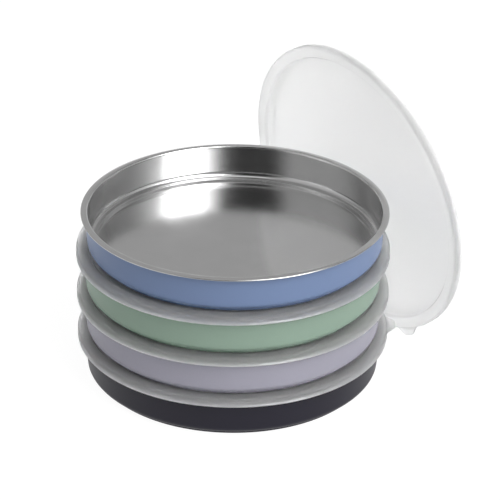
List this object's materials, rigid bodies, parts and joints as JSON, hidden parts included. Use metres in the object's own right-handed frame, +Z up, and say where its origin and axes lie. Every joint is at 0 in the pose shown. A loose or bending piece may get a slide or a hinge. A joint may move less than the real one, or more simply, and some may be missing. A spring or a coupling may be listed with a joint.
{
  "type": "stacked tiffin trays",
  "caption": "Stack of round shallow steel food trays with coloured outsides and frosted soft lids, the top tray open with its lid leaning on the stack.",
  "frame": {"origin": "centre of the bottom tray's foot, on the table", "axes": "+Z up the stack; -Y faces the viewer, and the loose lid leans on the stack on the +X +Y side"},
  "size_m": [0.2507, 0.2447, 0.2036],
  "materials": {
    "navy_coat": "satin",
    "lilac_coat": "satin",
    "green_coat": "satin",
    "blue_coat": "satin",
    "steel": "satin",
    "frosted_lid": "satin"
  },
  "bodies": {
    "navy_tray": {"navy_tray": "navy_coat"},
    "navy_lid": {"navy_lid": "frosted_lid"},
    "lilac_tray": {"lilac_tray": "lilac_coat"},
    "lilac_lid": {"lilac_lid": "frosted_lid"},
    "green_tray": {"green_tray": "green_coat"},
    "green_lid": {"green_lid": "frosted_lid"},
    "blue_tray": {"blue_tray": "blue_coat"},
    "blue_lid": {"blue_lid": "frosted_lid"}
  },
  "joints": [
    {"name": "navy_lid_lift", "type": "slide", "parent": "navy_tray", "child": "navy_lid", "axis": [-0.1919, -0.1473, 0.9703], "range_m": [0, 0.04]},
    {"name": "lilac_tray_lift", "type": "slide", "parent": "navy_lid", "child": "lilac_tray", "axis": [-0.1919, -0.1473, 0.9703], "range_m": [0, 0.04]},
    {"name": "lilac_lid_lift", "type": "slide", "parent": "lilac_tray", "child": "lilac_lid", "axis": [-0.1919, -0.1473, 0.9703], "range_m": [0, 0.04]},
    {"name": "green_tray_lift", "type": "slide", "parent": "lilac_lid", "child": "green_tray", "axis": [-0.1919, -0.1473, 0.9703], "range_m": [0, 0.04]},
    {"name": "green_lid_lift", "type": "slide", "parent": "green_tray", "child": "green_lid", "axis": [-0.1919, -0.1473, 0.9703], "range_m": [0, 0.04]},
    {"name": "blue_tray_lift", "type": "slide", "parent": "green_lid", "child": "blue_tray", "axis": [-0.1919, -0.1473, 0.9703], "range_m": [0, 0.04]},
    {"name": "blue_lid_lift", "type": "slide", "parent": "navy_tray", "child": "blue_lid", "axis": [0, 0, 1], "range_m": [0, 0.12]}
  ]
}
